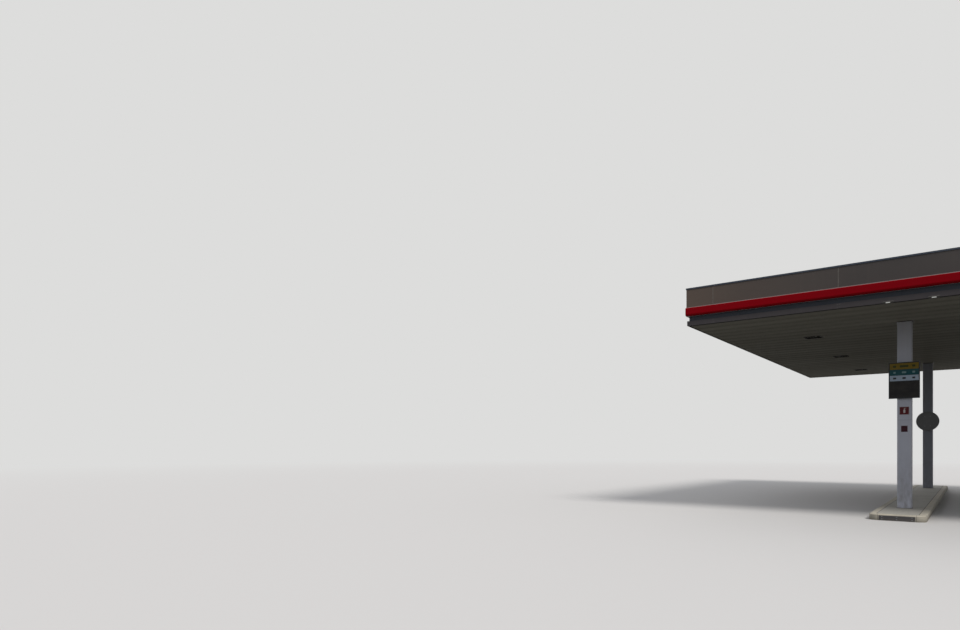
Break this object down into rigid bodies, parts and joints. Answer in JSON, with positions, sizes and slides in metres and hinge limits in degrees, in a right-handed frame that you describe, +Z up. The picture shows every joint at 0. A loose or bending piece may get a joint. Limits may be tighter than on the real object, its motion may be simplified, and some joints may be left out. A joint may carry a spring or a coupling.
{
  "type": "filling station canopy",
  "caption": "Flat filling station canopy on two rows of square columns, with a panelled fascia, a projecting band, a plank ceiling and kerbed islands.",
  "frame": {"origin": "on the ground under the middle of the whole canopy", "axes": "+X along the front fascia to the right, +Y from the front to the back, +Z up"},
  "size_m": [19.092, 16.56, 6.044],
  "materials": {
    "concrete": "cast concrete with a floated top",
    "steel_frame": "galvanised and primed steel",
    "column_casing": "powder-coated aluminium sheet, satin",
    "roof_sheet": "galvanised profiled sheet",
    "fascia_grey": "powder-coated aluminium trays, satin",
    "coping_dark": "powder-coated aluminium, satin",
    "band_red": "moulded band, semi-gloss",
    "trim_pale": "powder-coated aluminium, satin",
    "recess_dark": "dark powder-coated sheet, matt",
    "ceiling_plank": "coil-coated planks, semi-gloss",
    "lamp_housing": "dark powder-coated sheet",
    "lamp_glass": "toughened glass",
    "spot_housing": "die-cast body, powder-coated",
    "sign_panel": "sheet-metal panel, satin",
    "sign_red": "printed aluminium plate",
    "disc_grey": "bare back of a sign plate, satin",
    "nose_plate": "painted steel plate"
  },
  "bodies": {
    "root": {"kerb_left": "concrete", "kerb_right": "concrete", "infill_left": "concrete", "infill_right": "concrete", "post_front_left": "steel_frame", "post_front_right": "steel_frame", "post_back_left": "steel_frame", "post_back_right": "steel_frame", "main_beam_left": "steel_frame", "main_beam_right": "steel_frame", "cross_beams": "steel_frame", "edge_channels": "steel_frame", "fascia_posts": "steel_frame", "fascia_rails": "steel_frame", "carriers": "steel_frame", "hangers": "steel_frame", "casing_front_left": "column_casing", "casing_front_right": "column_casing", "casing_back_left": "column_casing", "casing_back_right": "column_casing", "roof_deck_front": "roof_sheet", "roof_deck_back": "roof_sheet", "gutter": "roof_sheet", "roof_flashings": "roof_sheet", "fascia_front": "fascia_grey", "fascia_right": "fascia_grey", "fascia_back": "fascia_grey", "fascia_left": "fascia_grey", "coping": "coping_dark", "band_front": "band_red", "band_right": "band_red", "band_back": "band_red", "band_trim": "trim_pale", "edge_trim": "trim_pale", "recess": "recess_dark", "ceiling_front": "ceiling_plank", "ceiling_middle": "ceiling_plank", "ceiling_back": "ceiling_plank", "lamps": "lamp_housing", "lamp_glasses": "lamp_glass", "spotlights": "spot_housing", "info_panels": "sign_panel", "sign_plates": "sign_red", "round_plates": "disc_grey", "nose_plates": "nose_plate"}
  },
  "joints": []
}
